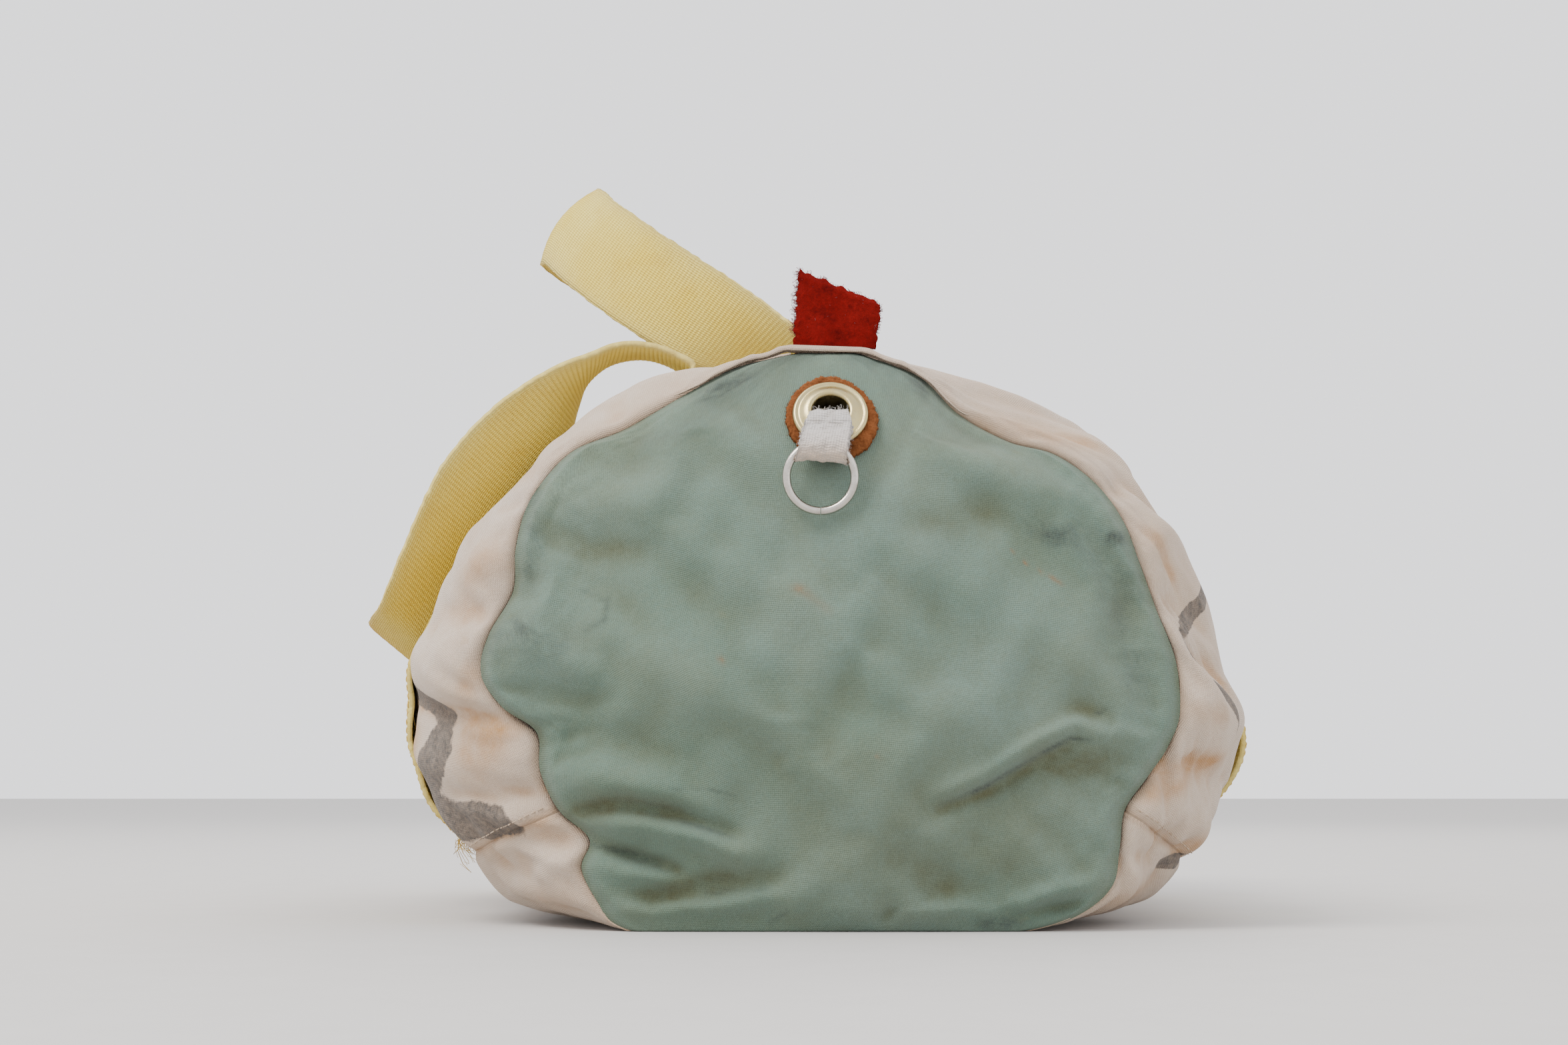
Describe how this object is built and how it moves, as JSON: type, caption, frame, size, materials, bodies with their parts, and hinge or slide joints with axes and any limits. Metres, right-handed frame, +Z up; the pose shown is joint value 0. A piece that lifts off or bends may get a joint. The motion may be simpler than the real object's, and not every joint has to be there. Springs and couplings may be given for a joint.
{
  "type": "sports bag",
  "caption": "Small canvas sports bag with two webbing handles, a zip along the top, suede end tabs, and a steel ring on a cotton loop through an end grommet.",
  "frame": {"origin": "on the standing surface, under the middle of the bag's flat bottom", "axes": "+Z up; Y along the zip, with the end that has the grommet and ring facing -Y; +X to the right seen from that end"},
  "size_m": [0.3955, 0.4691, 0.3518],
  "materials": {
    "teal_canvas": "washed cotton canvas, stained and creased",
    "cream_canvas": "old cotton sailcloth with grey paint marks",
    "yellow_webbing": "ribbed cotton webbing",
    "cotton_tape": "plain cotton tape",
    "red_suede": "suede with a loose nap",
    "brown_leather": "vegetable-tanned split leather",
    "brass": "pale rolled brass",
    "steel": "bright drawn wire",
    "zip_tape": "woven zip tape",
    "zip_metal": "dull brass"
  },
  "bodies": {
    "bag": {"right_side_panel": "cream_canvas", "left_side_panel": "cream_canvas", "bottom_panel": "cream_canvas", "right_bottom_flank": "cream_canvas", "left_bottom_flank": "cream_canvas", "front_end_panel": "teal_canvas", "rear_end_panel": "teal_canvas", "grommet_face": "brass", "grommet_washer": "brass", "leather_washer": "brown_leather", "loop_tail": "cotton_tape", "right_zip_tape": "zip_tape", "left_zip_tape": "zip_tape", "right_zip_teeth": "zip_metal", "left_zip_teeth": "zip_metal", "zip_stops": "zip_metal", "front_tab_base": "red_suede", "rear_tab_base": "red_suede", "left_front_strap": "yellow_webbing", "left_rear_strap": "yellow_webbing", "right_front_strap": "yellow_webbing", "right_rear_strap": "yellow_webbing"},
    "slider": {"zip_slider": "zip_metal"},
    "pull": {"zip_pull": "zip_metal"},
    "loop": {"ring_loop": "cotton_tape"},
    "ring": {"steel_ring": "steel"},
    "handle_left": {"left_handle": "yellow_webbing"},
    "handle_right": {"right_handle": "yellow_webbing"},
    "tab_front": {"front_tab": "red_suede"},
    "tab_rear": {"rear_tab": "red_suede"}
  },
  "joints": [
    {"name": "zip_slide", "type": "slide", "parent": "bag", "child": "slider", "axis": [0, -1, 0], "range_m": [0, 0.31]},
    {"name": "pull_swing", "type": "hinge", "parent": "slider", "child": "pull", "pos_m": [0, 0.16, 0.2394], "axis": [-1, 0, 0], "range_deg": [0, 150]},
    {"name": "loop_lift", "type": "hinge", "parent": "bag", "child": "loop", "pos_m": [-0.0032, -0.22556, 0.20003], "axis": [-1, 0, 0], "range_deg": [0, 75]},
    {"name": "ring_swing", "type": "hinge", "parent": "loop", "child": "ring", "pos_m": [-0.0032, -0.231, 0.1896], "axis": [-1, 0, 0], "range_deg": [-3, 110]},
    {"name": "left_handle_swing", "type": "hinge", "parent": "bag", "child": "handle_left", "pos_m": [-0.057, 0, 0.236], "axis": [0, 1, 0], "range_deg": [0, 115]},
    {"name": "right_handle_swing", "type": "hinge", "parent": "bag", "child": "handle_right", "pos_m": [0.057, 0, 0.236], "axis": [0, 1, 0], "range_deg": [0, 150]},
    {"name": "front_tab_bend", "type": "hinge", "parent": "bag", "child": "tab_front", "pos_m": [0.003, -0.1907, 0.2412], "axis": [1, 0, 0], "range_deg": [-60, 60], "stiffness_Nm_per_rad": 0.01},
    {"name": "rear_tab_bend", "type": "hinge", "parent": "bag", "child": "tab_rear", "pos_m": [0.003, 0.1907, 0.2412], "axis": [-1, 0, 0], "range_deg": [-60, 60], "stiffness_Nm_per_rad": 0.01}
  ]
}
